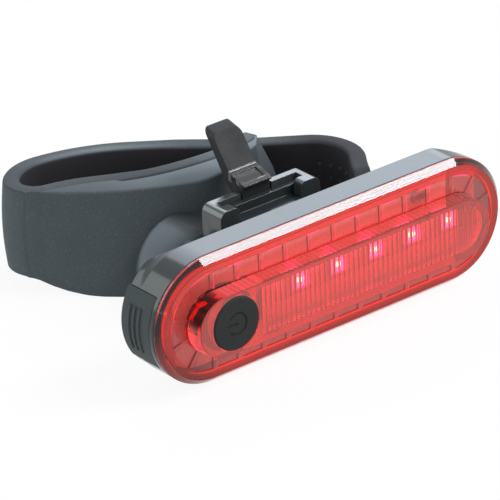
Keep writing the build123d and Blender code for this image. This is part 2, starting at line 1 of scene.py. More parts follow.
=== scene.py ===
# Bike light on a rubber strap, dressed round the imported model. Metres, Z up, the lens faces -Y.
import math
import bmesh
import bpy
import mathutils
import numpy as np
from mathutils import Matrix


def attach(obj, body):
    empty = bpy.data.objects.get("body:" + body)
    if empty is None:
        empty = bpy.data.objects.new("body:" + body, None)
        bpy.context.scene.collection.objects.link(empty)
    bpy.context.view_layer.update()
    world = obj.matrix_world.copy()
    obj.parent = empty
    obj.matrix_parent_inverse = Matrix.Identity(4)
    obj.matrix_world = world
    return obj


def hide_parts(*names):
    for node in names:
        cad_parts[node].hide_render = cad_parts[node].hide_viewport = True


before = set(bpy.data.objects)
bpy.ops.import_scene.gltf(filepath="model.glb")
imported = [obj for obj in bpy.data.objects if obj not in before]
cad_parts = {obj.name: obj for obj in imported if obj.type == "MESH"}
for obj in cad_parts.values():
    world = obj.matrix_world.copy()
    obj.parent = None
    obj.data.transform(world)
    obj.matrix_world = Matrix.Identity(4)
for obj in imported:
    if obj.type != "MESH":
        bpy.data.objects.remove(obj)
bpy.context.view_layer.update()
print("frame loaded:", len(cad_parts), "nodes")

mm = 0.001
rimY = -2.75          # mm, where lens and housing meet: depth counts back from here and level forward
axisZ = 11.6          # mm, height of the light's long axis
endX = 26.4           # mm, centre of the light's round ends
black, white = (0, 0, 0, 1), (1, 1, 1, 1)


def tint(red, green, blue):
    # Screen colour 0..255 to the linear colour of a shader: ((c / 255 + 0.055) / 1.055) ^ 2.4.
    return tuple(((c / 255 + 0.055) / 1.055) ** 2.4 if c > 10 else c / 255 / 12.92
                 for c in (red, green, blue)) + (1.0,)


class Field:
    # A number that changes over the surface: + - * / on it add Math nodes to the same tree.
    def __init__(self, tree, socket):
        self.tree, self.socket = tree, socket

    def op(self, kind, *others):
        node = self.tree.nodes.new("ShaderNodeMath")
        node.operation = kind
        for slot, value in zip(node.inputs, (self,) + others):
            plug(self.tree, value, slot)
        return Field(self.tree, node.outputs[0])

    def __add__(self, other):
        return self.op("ADD", other)

    def __sub__(self, other):
        return self.op("SUBTRACT", other)

    def __mul__(self, other):
        return self.op("MULTIPLY", other)

    def __truediv__(self, other):
        return self.op("DIVIDE", other)

    __radd__, __rmul__ = __add__, __mul__

    def __rsub__(self, other):
        return (self * -1) + other

    def size(self):
        return self.op("ABSOLUTE")

    def most(self, other):
        return self.op("MAXIMUM", other)

    def wave(self, pitch):
        # sin(2 pi x / pitch).
        return (self * (2 * math.pi / pitch)).op("SINE")

    def past(self, pitch, start):
        # Distance past the last of evenly spaced lines: frac((x - start) / pitch) * pitch.
        return ((self - start) / pitch).op("FRACT") * pitch

    def repeat(self, pitch, start=0.0):
        # Distance to the nearest of evenly spaced lines: |frac((x - start) / pitch + 1/2) - 1/2| * pitch.
        return (((self - start) / pitch + 0.5).op("FRACT") - 0.5).size() * pitch

    def step(self, low, high):
        # 0 below low, 1 above high, smooth between; high may be the smaller one.
        node = self.tree.nodes.new("ShaderNodeMapRange")
        node.interpolation_type = "SMOOTHSTEP"
        flip = high < low
        plug(self.tree, self, node.inputs[0])
        for slot, value in zip(node.inputs[1:5], (high, low, 1, 0) if flip else (low, high, 0, 1)):
            slot.default_value = value
        return Field(self.tree, node.outputs[0])

    def upTo(self, limit, soft):
        # 1 below the limit, falling to 0 over soft on both sides of it.
        return self.step(limit + soft, limit - soft)

    def band(self, low, high, soft):
        # 1 between low and high, falling to 0 over soft on both sides.
        return self.step(low - soft, low + soft) * self.upTo(high, soft)


def plug(tree, value, slot):
    # A field or a socket is linked, a plain number or colour is set.
    if isinstance(value, Field):
        tree.links.new(value.socket, slot)
    elif isinstance(value, bpy.types.NodeSocket):
        tree.links.new(value, slot)
    else:
        slot.default_value = value


def distance(across, up):
    # sqrt(across^2 + up^2).
    return (across * across + up * up).op("SQRT")


def mixed(tree, share, first, second, blend="MIX"):
    # Colour between two: first * (1 - share) + second * share, or another blend of them.
    node = tree.nodes.new("ShaderNodeMix")
    node.data_type, node.blend_type = "RGBA", blend
    for slot, value in ((0, share), (6, first), (7, second)):
        plug(tree, value, node.inputs[slot])
    return node.outputs[2]


def blended(tree, share, first, second):
    # Shader between two: 0 gives the first and 1 the second.
    node = tree.nodes.new("ShaderNodeMixShader")
    for slot, value in zip(node.inputs, (share, first, second)):
        plug(tree, value, slot)
    return node.outputs[0]


def mottle(tree, place, scale, detail=3.0, roughness=0.5, kind="ShaderNodeTexNoise"):
    # Cloudy noise about 1 / scale metres wide, 0..1; with the Voronoi kind, round dots dark in the middle.
    node = tree.nodes.new(kind)
    plug(tree, place, node.inputs["Vector"])
    plug(tree, scale, node.inputs["Scale"])
    if kind == "ShaderNodeTexNoise":
        node.inputs["Detail"].default_value = detail
        node.inputs["Roughness"].default_value = roughness
        return Field(tree, node.outputs["Fac"])
    return Field(tree, node.outputs["Distance"])


def objectPlace(tree, stretch=(1, 1, 1)):
    # Object coordinates, stretched by a Mapping node where a pattern is longer one way.
    place = tree.nodes.new("ShaderNodeTexCoord").outputs["Object"]
    if stretch == (1, 1, 1):
        return place
    mapping = tree.nodes.new("ShaderNodeMapping")
    mapping.inputs["Scale"].default_value = stretch
    tree.links.new(place, mapping.inputs["Vector"])
    return mapping.outputs["Vector"]


def placeInMm(tree):
    # Object coordinates in mm, one field for each axis.
    parts = tree.nodes.new("ShaderNodeSeparateXYZ")
    tree.links.new(objectPlace(tree), parts.inputs[0])
    return [Field(tree, parts.outputs[k]) * (1 / mm) for k in range(3)]


def placeOnLight(tree):
    # Along the light, height above its axis, and level in front of the rim, all in mm.
    x, y, z = placeInMm(tree)
    return x, z - axisZ, rimY - y


def newGroup(name, inputs, outputs):
    # Empty node group with named sockets; numbers and colours get their defaults here.
    group = bpy.data.node_groups.new(name, "ShaderNodeTree")
    for socketName, kind, value in inputs:
        socket = group.interface.new_socket(
            name=socketName, in_out="INPUT", socket_type="NodeSocket" + kind)
        if value is not None:
            socket.default_value = value
    for socketName, kind in outputs:
        group.interface.new_socket(name=socketName, in_out="OUTPUT", socket_type="NodeSocket" + kind)
    take, give = group.nodes.new("NodeGroupInput"), group.nodes.new("NodeGroupOutput")
    return group, take.outputs, give.inputs


# Scales of the shared patterns, per metre.
patternScale = dict(rubberDots=2300.0, rubberFine=3600.0, rubberCloud=170.0, smudge=140.0, patch=120.0)


def buildGrain():
    # Moulded grain: fine noise plus small round pits, as a height and as a pale or dark tone.
    group, take, give = newGroup(
        "mouldedGrain",
        [("Vector", "Vector", None), ("Scale", "Float", 4000.0), ("Pits", "Float", 0.5)],
        [("Height", "Float"), ("Tone", "Float")])
    noise = mottle(group, take["Vector"], take["Scale"], 2.0)
    pits = mottle(group, take["Vector"], take["Scale"], kind="ShaderNodeTexVoronoi")
    plug(group, noise + pits * Field(group, take["Pits"]), give["Height"])
    plug(group, noise.step(0.3, 0.7), give["Tone"])
    return group


def buildSpeckle():
    # Rubber: pale specks of talc, cloudy patches and a fine height.
    group, take, give = newGroup(
        "rubberSpeckle",
        [("Vector", "Vector", None), ("Rubber", "Color", (0.05, 0.06, 0.065, 1)),
         ("Speck", "Color", (0.2, 0.22, 0.23, 1)), ("Specks", "Float", 0.3), ("Patches", "Float", 0.3)],
        [("Color", "Color"), ("Roughness", "Float"), ("Height", "Float")])
    dots = mottle(group, take["Vector"], patternScale["rubberDots"], kind="ShaderNodeTexVoronoi")
    fine = mottle(group, take["Vector"], patternScale["rubberFine"], 3.0, 0.7)
    cloud = mottle(group, take["Vector"], patternScale["rubberCloud"], 4.0, 0.6)
    specks = dots.step(0.3, 0.1) * fine.step(0.45, 0.6) * Field(group, take["Specks"])
    shade = (cloud - 0.5) * Field(group, take["Patches"]) + (fine - 0.5) * 0.5 + 1.0
    scaled = mixed(group, 1.0, take["Rubber"], shade.socket, "MULTIPLY")
    plug(group, mixed(group, specks, scaled, take["Speck"]), give["Color"])
    plug(group, 0.62 + cloud * 0.2 - specks * 0.1, give["Roughness"])
    plug(group, fine * 0.7 + dots * 0.3, give["Height"])
    return group


def buildSmudge():
    # Handling: roughness between clean and rubbed, in soft streaks.
    group, take, give = newGroup(
        "handlingSmudge",
        [("Vector", "Vector", None), ("Clean", "Float", 0.2), ("Rubbed", "Float", 0.4)],
        [("Roughness", "Float")])
    streak = mottle(group, take["Vector"], patternScale["smudge"], 5.0, 0.65).step(0.42, 0.68)
    clean, rubbed = Field(group, take["Clean"]), Field(group, take["Rubbed"])
    plug(group, clean + (rubbed - clean) * streak, give["Roughness"])
    return group


grainGroup = buildGrain()
speckleGroup = buildSpeckle()
smudgeGroup = buildSmudge()


def useGroup(tree, group, **values):
    # Places a group in a material with values for its sockets.
    node = tree.nodes.new("ShaderNodeGroup")
    node.node_tree = group
    for key, value in values.items():
        plug(tree, value, node.inputs[key])
    return node.outputs


def newMaterial(name, roughness=0.5, **plain):
    # Material with a Principled shader; plain values go on its sockets, with _ for a blank in their names.
    material = bpy.data.materials.new(name)
    material.use_nodes = True
    tree = material.node_tree
    shader = tree.nodes["Principled BSDF"]
    shader.inputs["Roughness"].default_value = roughness
    for key, value in plain.items():
        shader.inputs[key.replace("_", " ")].default_value = value
    return material, tree, shader


def bumped(tree, shader, height, relief, softEdge=0.0):
    # Height in relief, in mm; softEdge in mm rounds hard corners of a CAD node with the Bevel node.
    node = tree.nodes.new("ShaderNodeBump")
    node.inputs["Distance"].default_value = relief * mm
    node.inputs["Strength"].default_value = 1.0
    plug(tree, height, node.inputs["Height"])
    if softEdge:
        bevel = tree.nodes.new("ShaderNodeBevel")
        bevel.samples = 4
        bevel.inputs["Radius"].default_value = softEdge * mm
        tree.links.new(bevel.outputs[0], node.inputs["Normal"])
        if shader.inputs["Coat Weight"].default_value > 0:
            tree.links.new(bevel.outputs[0], shader.inputs["Coat Normal"])
    tree.links.new(node.outputs[0], shader.inputs["Normal"])
    return node.outputs[0]


def wavedPanel(tree, panel, relief, height, roughness):
    # Glossy waved panel on the hook of the latch: its mask, and height and roughness changed inside it.
    _, y, z = placeInMm(tree)
    mask = y.upTo(panel["rear"], panel["soft"]) * z.band(panel["low"], panel["high"], panel["soft"] / 2)
    height = height + y.wave(panel["wave"]) * (panel["depth"] / relief) * mask
    return mask, height, roughness + (panel["gloss"] - roughness) * mask


def litInside(tree, shader, inside, colour, roughness):
    # Red light on the walls behind the lens, and a dull seam where the lens sits.
    x, height, level = placeOnLight(tree)
    depth, soft = level * -1.0, inside["soft"]
    radius = distance((x.size() - endX).most(0.0), height)
    radius = radius + (depth - inside["taperFrom"]).most(0.0) * inside["taper"]
    behind = depth + (x - inside["slopeX"]).most(0.0) * inside["slope"]
    mask = radius.upTo(inside["radius"], soft) * behind.upTo(inside["slopeTo"], soft)
    mask = mask * depth.upTo(inside["depth"], soft)
    seam = depth.step(inside["seam"] + soft, inside["seam"])
    coat = shader.inputs["Coat Weight"]
    plug(tree, (1.0 - seam) * coat.default_value, coat)
    return mixed(tree, mask, colour, tint(*inside["colour"])), roughness + seam * inside["seamDull"]


def mouldedPlastic(name, look):
    # Hard moulding: colour with soft patches, grain in relief, rubbed places rougher.
    material, tree, shader = newMaterial(name, **look.get("plain", {}))
    place = objectPlace(tree)
    grain = useGroup(tree, grainGroup, Vector=place, Scale=look["grainScale"], Pits=0.4)
    smudge = useGroup(tree, smudgeGroup, Vector=place, Clean=look["clean"], Rubbed=look["rubbed"])
    cloud, cloudShare = mottle(tree, place, patternScale["patch"], 3.0), 0.6
    patch = cloud * cloudShare + Field(tree, grain["Tone"]) * (1 - cloudShare)
    colour = mixed(tree, patch.step(0.3, 0.7), tint(*look["colour"]), tint(*look["patch"]))
    roughness, height = Field(tree, smudge["Roughness"]), Field(tree, grain["Height"])
    if "panel" in look:
        mask, height, roughness = wavedPanel(tree, look["panel"], look["relief"], height, roughness)
        plug(tree, mask, shader.inputs["Coat Weight"])
    if "inside" in look:
        colour, roughness = litInside(tree, shader, look["inside"], colour, roughness)
    plug(tree, colour, shader.inputs["Base Color"])
    plug(tree, roughness, shader.inputs["Roughness"])
    normal = bumped(tree, shader, height, look["relief"], look["softEdge"])
    if "panel" in look:
        tree.links.new(normal, shader.inputs["Coat Normal"])
    return material


def softRubber(name, look):
    # Matt rubber: specks and patches from the shared group, with a fine relief. A tone on the mesh paints
    # light and
    # shade: it runs from 1 for painted light to -1 for painted shade.
    material, tree, shader = newMaterial(name, **look["plain"])
    rubber = useGroup(tree, speckleGroup, Vector=objectPlace(tree), Rubber=tint(*look["colour"]),
                      Speck=tint(*look["speck"]), Specks=look["specks"], Patches=look["patches"])
    colour = rubber["Color"]
    if "tone" in look:
        attribute = tree.nodes.new("ShaderNodeAttribute")
        attribute.attribute_name = look["tone"]
        tone = Field(tree, attribute.outputs["Fac"])
        colour = mixed(tree, tone.most(0.0) * look["paleShare"], colour, tint(*look["pale"]))
        colour = mixed(tree, (tone * -1.0).most(0.0), colour, tint(*look["paintedShadeColour"]))
    plug(tree, colour, shader.inputs["Base Color"])
    plug(tree, rubber["Roughness"], shader.inputs["Roughness"])
    bumped(tree, shader, rubber["Height"], look["relief"], look.get("softEdge", 0.0))
    return material


def wear(node, material):
    # Gives a CAD node its finish.
    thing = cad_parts[node]
    thing.data.materials.clear()
    thing.data.materials.append(material)


# Finishes of the CAD nodes. Colours 0..255; grainScale per metre; relief, softEdge and places in mm.
plastics = {
    "housingPlastic": dict(
        nodes=["housing"], colour=(35, 42, 44), patch=(43, 50, 52), grainScale=5200.0, relief=0.003,
        clean=0.14, rubbed=0.22, softEdge=0.25,
        inside=dict(colour=(150, 66, 60), radius=10.8, depth=8.8, taperFrom=5.5, taper=0.78, slopeX=28.0,
                    slope=0.86, slopeTo=4.4, seam=0.3, seamDull=0.5, soft=0.1),
        plain=dict(Coat_Weight=0.2, Coat_Roughness=0.08, Specular_IOR_Level=0.35)),
    "bracketPlastic": dict(
        nodes=["bracket"], colour=(54, 57, 58), patch=(62, 65, 66), grainScale=4200.0, relief=0.004,
        clean=0.12, rubbed=0.3, softEdge=0.2, plain=dict(Coat_Weight=0.35, Coat_Roughness=0.1)),
    "latchPlastic": dict(
        nodes=["latch_lever"], colour=(40, 42, 43), patch=(48, 50, 51), grainScale=3000.0, relief=0.006,
        clean=0.5, rubbed=0.62, softEdge=0.25,
        panel=dict(rear=20.2, low=21.2, high=23.0, soft=0.1, wave=2.2, depth=0.06, gloss=0.1),
        plain=dict(Specular_IOR_Level=0.22, Coat_Roughness=0.08)),
    "blackPlastic": dict(
        nodes=["switch_plunger", "charge_controller", "usb_tongue", "resistor_1", "resistor_2"],
        colour=(22, 22, 23), patch=(34, 34, 36), grainScale=6000.0, relief=0.003, clean=0.4, rubbed=0.5,
        softEdge=0.05),
    "boardWhite": dict(
        nodes=["circuit_board"], colour=(214, 209, 202), patch=(224, 220, 214), grainScale=2600.0,
        relief=0.002, clean=0.25, rubbed=0.35, softEdge=0.05),
    "whiteTape": dict(
        nodes=["battery_tape"], colour=(222, 220, 212), patch=(205, 203, 196), grainScale=1500.0,
        relief=0.02, clean=0.7, rubbed=0.8, softEdge=0.05),
    "platedSteel": dict(
        nodes=["board_screw_1", "board_screw_2", "usb_shell", "switch_body"], colour=(190, 190, 192),
        patch=(168, 168, 172), grainScale=3000.0, relief=0.002, clean=0.22, rubbed=0.38, softEdge=0.08,
        plain=dict(Metallic=1.0)),
    "batteryFoil": dict(
        nodes=["battery"], colour=(202, 203, 207), patch=(180, 182, 188), grainScale=900.0, relief=0.02,
        clean=0.28, rubbed=0.42, softEdge=0.1, plain=dict(Metallic=0.9)),
}
rubbers = {
    "buttonRubber": dict(
        nodes=["power_button"], colour=(33, 35, 35), speck=(60, 62, 62), specks=0.5, patches=0.25,
        relief=0.02, softEdge=0.2, plain=dict(Specular_IOR_Level=0.3)),
    "plugRubber": dict(
        nodes=["usb_plug"], colour=(66, 73, 74), speck=(104, 110, 110), specks=0.35, patches=0.6,
        relief=0.03, softEdge=0.3, plain=dict(Specular_IOR_Level=0.3)),
    "sealRubber": dict(
        nodes=["lens_seal"], colour=(40, 40, 41), speck=(70, 70, 71), specks=0.2, patches=0.3,
        relief=0.01, plain=dict(Specular_IOR_Level=0.3)),
    "wireRed": dict(
        nodes=["wire_positive"], colour=(190, 24, 24), speck=(210, 60, 55), specks=0.2, patches=0.3,
        relief=0.01, plain=dict(Specular_IOR_Level=0.4)),
    "wireBlack": dict(
        nodes=["wire_negative"], colour=(28, 28, 30), speck=(50, 50, 52), specks=0.2, patches=0.3,
        relief=0.01, plain=dict(Specular_IOR_Level=0.4)),
}
for looks, makeFinish in ((plastics, mouldedPlastic), (rubbers, softRubber)):
    for finishName, look in looks.items():
        finish = makeFinish(finishName, look)
        for node in look["nodes"]:
            wear(node, finish)
print("finishes of the CAD nodes made")


# Lamps on the board; the first one's place, their pitch and the sizes of the lit spots in mm.
ledLook = dict(
    first=-7.5, pitch=8.3, core=0.4, coreSoft=0.12, ring=1.35, ringSoft=0.2, coreColour=(0.25, 1.0, 0.2, 1),
    ringColour=(0.1, 0.03, 0.13, 1), strength=25.0, body=(236, 226, 214), bodyPale=(255, 255, 255),
    paleShare=0.2, roughness=0.35, grainScale=5000.0, pits=0.3, relief=0.002, softEdge=0.05)

# Lens, in mm and radians. A pair tells where a mask is 0 and where it is 1, three numbers are a band and its
# softness; radius is measured round the long axis and its two ends, angle round the left end from its right.
faceLevel, shoulderLevel, rimRadius = 4.9, 1.4, 10.6
lensLook = dict(
    glass=dict(
        clear=(1.0, 0.96, 0.955), haze=(0.985, 0.93, 0.925), cloudScale=90.0, roughness=0.015, bend=1.49,
        absorb=1400.0, absorbRed=(0.93, 0.04, 0.0), shadow=(0.95, 0.93, 0.93), lineDepth=0.012,
        crestPaintedShade=(0.25, 0.01, 0.01), curlPaintedShade=(0.3, 0.004, 0.01), sharpAngle=20.0,
        crestRoughness=0.9, rimRoughness=0.03, fluteRoughness=0.14, lowerRoughness=0.3),
    zones=dict(
        face=(faceLevel - 0.3, faceLevel - 0.1), crest=(faceLevel - 0.2, faceLevel - 0.14),
        crestRadius=(5.32, 5.38), low=(shoulderLevel + 0.3, shoulderLevel + 0.1),
        wall=(shoulderLevel + 0.2, faceLevel - 0.2, 0.1), wallRadius=(6.0, 5.9),
        cells=(5.8, 8.9, 0.08), shoulder=(8.9, rimRadius, 0.08),
        rim=(rimRadius, rimRadius + 0.15), rimHeight=(2.0, -4.0), roughRim=(rimRadius, rimRadius + 0.2),
        lip=(11.45, 11.55), upperSide=(2.0, 6.0), endSoft=0.2,
        linePitch=0.535, lineShare=0.3, lineLevel=(3.2, 4.5, 0.05), lineRadius=(4.2, 4.1),
        lowerLines=(1.2, -0.5), flutePitch=1.07, fluteShare=0.4,
        ribPitch=5.28, ribHalf=0.45, ribEdge=(0.2, 0.06), ribFoot=(0.4, 0.15), footRadius=(6.5, 6.1),
        leftDim=0.45, leftSide=(-22.0, -31.0), rightEnd=(22.0, 27.0), rightRadius=(10.8, 10.4),
        button=(-17.5, -19.0), buttonAngle=(2.0, 1.4),
        curlSoft=1.0, curlAngle=(0.5, 1.2), curlScale=520.0, curlStretch=(1, 1, 0.35), curls=(0.52, 0.62),
        plainAngle=(3.1, 2.8), plainShare=0.9, curledRadius=(5.3, 6.0, 0.1), curledAngle=(1.3, 2.9, 0.2)),
    # Where the painted pink streaks of lamp light lie beside each lamp, on the wall, and above it on the
    # cells.
    streaks=dict(
        shift=-4.2, lead=2.0, reach=4.2, soft=0.5, start=(1.2, 1.5), end=(5.0, 1.5), height=2.8,
        half=(1.5, 0.6), line=(0.22, 0.08), lineStart=0.2, wallEnd=(3.2, 0.8), wallLine=(0.4, 0.1),
        wallShare=0.5, upperShift=-7.0, upper=(0.3, 3.4, 0.3), upperRadius=(8.45, 8.6)),
    # Colours of the painted glow: emission on the lens that stands in for the light the lamps and the board
    # send through it.
    glow=dict(
        face=(0.25, 0.057, 0.048), wall=(0.2, 0.07, 0.062), cells=(0.16, 0.06, 0.054),
        shoulder=(0.3, 0.01, 0.004), rim=(0.3, 0.02, 0.012), button=(0.1, 0.0, 0.0),
        buttonWall=(0.5, 0.02, 0.03), foot=(0.8, 0.0, 0.06), upper=(0.7, 0.0, 0.12), rib=(0.5, 0.0, 0.05),
        lamp=(0.9, 0.0, 0.16), lip=(0.5, 0.03, 0.03), curl=(0.7, 0.0, 0.0), end=(0.06, 0.008, 0.008)))


def lensPlace(tree, zones):
    # Measures that glow and glass share: place on the light, radius = distance from the stretch between the
    # two end centres, angle round the left one, masks of the window's sloped wall and of its left end.
    x, height, level = placeOnLight(tree)
    radius = distance((x.size() - endX).most(0.0), height)
    angle = height.op("ARCTAN2", x + endX)
    return x, height, level, radius, angle, level.band(*zones["wall"]), x.upTo(-endX, zones["curlSoft"])


def paintedLensGlow(tree, look, place, outside):
    # Painted red glow on the lens: emission that stands in for light caught in the moulding: a milky face with
    # fine lines, a fluted wall, cells with bright ribs, a hot shoulder and rim below, painted pink streaks of
    # lamp light beside each lamp, painted red curls of reflection at the left end, and a painted glow on the
    # lip and the right end. Each glow is its colour times its mask.
    x, height, level, radius, angle, wallLevel, leftEnd = place
    zones, streaks = look["zones"], look["streaks"]
    straight = (x.size() - endX).upTo(0.0, zones["endSoft"])
    upperSide = height.step(*zones["upperSide"])
    dim = 1.0 - x.step(*zones["leftSide"]) * (1 - zones["leftDim"])
    face = level.step(*zones["face"])
    wall = wallLevel * radius.step(*zones["wallRadius"])
    low = level.step(*zones["low"])
    cells = low * radius.band(*zones["cells"])
    shoulder = low * radius.band(*zones["shoulder"])
    rim = radius.step(*zones["rim"]) * height.step(*zones["rimHeight"])
    fine = x.wave(zones["linePitch"]) * zones["lineShare"] + 1.0
    coarse = x.wave(zones["flutePitch"]) * zones["fluteShare"] + 1.0
    fromRib = x.repeat(zones["ribPitch"], zones["ribHalf"])
    foot = cells * fromRib.step(*zones["ribFoot"]) * radius.step(*zones["footRadius"]) * straight
    byButton = x.step(*zones["button"])
    # Painted pink streaks of lamp light beside each lamp and on the cells above it.
    first, pitch = ledLook["first"], ledLook["pitch"]
    phase = x.past(pitch, first + streaks["shift"])
    start = first + streaks["shift"] - streaks["lead"]
    near = x.band(start, start + streaks["reach"] * pitch, streaks["soft"])
    hot = (height - streaks["height"]).size().step(*streaks["half"]) * near * face
    hot = hot * phase.step(*streaks["end"]) * phase.step(*streaks["start"])
    hot = hot * x.repeat(zones["flutePitch"], streaks["lineStart"]).step(*streaks["line"])
    wallHot = phase.step(*streaks["wallEnd"]) * x.repeat(zones["flutePitch"]).step(*streaks["wallLine"])
    wallHot = wallHot * wall * near * streaks["wallShare"]
    upper = x.past(pitch, first + streaks["upperShift"]).band(*streaks["upper"])
    upper = upper * cells * radius.step(*streaks["upperRadius"]) * upperSide
    curl = wall * leftEnd * angle.step(*zones["curlAngle"])
    plain = 1.0 - curl * angle.step(*zones["plainAngle"]) * zones["plainShare"]
    curls = mottle(tree, objectPlace(tree, zones["curlStretch"]), zones["curlScale"], 2.0, 0.6)
    # Masks of the painted glow; dim makes the painted glow weaker towards the left end.
    masks = dict(
        face=face * fine, wall=wall * coarse * plain, cells=cells * dim, shoulder=shoulder * dim,
        rim=rim * dim, button=face * byButton,
        buttonWall=wall * byButton * angle.step(*zones["buttonAngle"]),
        foot=foot, upper=upper, rib=cells * fromRib.step(*zones["ribEdge"]) * straight, lamp=hot + wallHot,
        lip=radius.step(*zones["lip"]) * upperSide, curl=curl * curls.step(*zones["curls"]),
        end=x.step(*zones["rightEnd"]) * radius.step(*zones["rightRadius"]))
    total = black
    for glowName, mask in masks.items():
        part = mixed(tree, mask * outside, black, look["glow"][glowName] + (1,))
        total = mixed(tree, 1.0, total, part, "ADD")
    return total


def lensRed(look):
    # Clear glass that swallows all but red, with fine upright lines inside the window, a painted shade in its
    # colour on the window's crest and on the curls at its left end, and a painted red glow; shadow rays pass,
    # so that the studio's light reaches the pieces behind it.
    glass, zones = look["glass"], look["zones"]
    material, tree, shader = newMaterial("lensRed", glass["roughness"], Transmission_Weight=1.0,
                                         IOR=glass["bend"])
    place = lensPlace(tree, zones)
    x, height, level, radius, angle, wallLevel, leftEnd = place
    inside = level.band(*zones["lineLevel"]) * radius.step(*zones["lineRadius"])
    bumped(tree, shader, x.wave(zones["linePitch"]) * inside, glass["lineDepth"])
    crest = level.step(*zones["crest"]) * radius.step(*zones["crestRadius"])
    curled = wallLevel * radius.band(*zones["curledRadius"]) * leftEnd * angle.band(*zones["curledAngle"])
    cloud = mottle(tree, objectPlace(tree), glass["cloudScale"], 3.0)
    tone = mixed(tree, cloud, glass["clear"] + (1,), glass["haze"] + (1,))
    # Painted shade on the window's crest and on the curls at the left end.
    tone = mixed(tree, crest, tone, glass["crestPaintedShade"] + (1,))
    plug(tree, mixed(tree, curled, tone, glass["curlPaintedShade"] + (1,)), shader.inputs["Base Color"])
    rough = crest * glass["crestRoughness"] + radius.step(*zones["roughRim"]) * glass["rimRoughness"]
    rough = rough + inside * glass["fluteRoughness"]
    rough = rough + inside * height.step(*zones["lowerLines"]) * glass["lowerRoughness"]
    plug(tree, rough + glass["roughness"], shader.inputs["Roughness"])
    outside = 1.0 - Field(tree, tree.nodes.new("ShaderNodeNewGeometry").outputs["Backfacing"])
    # Painted red glow as emission, on the outer side only.
    plug(tree, paintedLensGlow(tree, look, place, outside), shader.inputs["Emission Color"])
    shader.inputs["Emission Strength"].default_value = 1.0
    clear = tree.nodes.new("ShaderNodeBsdfTransparent")
    clear.inputs["Color"].default_value = glass["shadow"] + (1,)
    isShadow = tree.nodes.new("ShaderNodeLightPath").outputs["Is Shadow Ray"]
    output = tree.nodes["Material Output"]
    tree.links.new(blended(tree, isShadow, shader.outputs[0], clear.outputs[0]), output.inputs["Surface"])
    swallow = tree.nodes.new("ShaderNodeVolumeAbsorption")
    swallow.inputs["Color"].default_value = glass["absorbRed"] + (1,)
    swallow.inputs["Density"].default_value = glass["absorb"]
    tree.links.new(swallow.outputs[0], output.inputs["Volume"])
    return material


def addObject(name, data):
    # New object at the origin, in the scene.
    thing = bpy.data.objects.new(name, data)
    bpy.context.scene.collection.objects.link(thing)
    return thing


def smoothed(mesh, angle):
    # Smooth shading but for edges sharper than the angle, in degrees.
    mesh.polygons.foreach_set("use_smooth", np.ones(len(mesh.polygons), bool))
    mesh.set_sharp_from_angle(angle=math.radians(angle))


def smoothCopy(node, name, material, body, angle):
    # Copy of a CAD node with its corners joined, smooth but for edges sharper than the angle.
    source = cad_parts[node].data
    mesh = source.copy()
    mesh.name = name
    work = bmesh.new()
    work.from_mesh(mesh)
    bmesh.ops.remove_doubles(work, verts=work.verts, dist=0.0005 * mm)
    work.to_mesh(mesh)
    work.free()
    if mesh.attributes.get("custom_normal"):
        mesh.attributes.remove(mesh.attributes["custom_normal"])
    smoothed(mesh, angle)
    print(name, "joined:", len(source.vertices), "to", len(mesh.vertices), "corners")
    mesh.materials.clear()
    mesh.materials.append(material)
    thing = addObject(name, mesh)
    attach(thing, body)
    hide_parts(node)
    return thing


def litDish(look):
    # Lamp: pale body, magenta square and a hot core, by the distance from the nearest lamp's middle.
    material, tree, shader = newMaterial("lampBody", look["roughness"], Emission_Strength=look["strength"])
    x, height, _ = placeOnLight(tree)
    along = x.repeat(look["pitch"], look["first"])
    core = distance(along, height).upTo(look["core"], look["coreSoft"])
    ring = along.most(height.size()).upTo(look["ring"], look["ringSoft"])
    grain = useGroup(tree, grainGroup, Vector=objectPlace(tree), Scale=look["grainScale"], Pits=look["pits"])
    paler = Field(tree, grain["Tone"]) * look["paleShare"]
    body = mixed(tree, paler, tint(*look["body"]), tint(*look["bodyPale"]))
    plug(tree, body, shader.inputs["Base Color"])
    glow = mixed(tree, ring, black, look["ringColour"])
    plug(tree, mixed(tree, core, glow, look["coreColour"]), shader.inputs["Emission Color"])
    bumped(tree, shader, grain["Height"], look["relief"], look["softEdge"])
    return material


smoothCopy("lens", "lensClear", lensRed(lensLook), "light", lensLook["glass"]["sharpAngle"])
lamps = litDish(ledLook)
for number in range(1, 6):
    wear(f"led_{number}", lamps)
print("lens and lamps dressed")


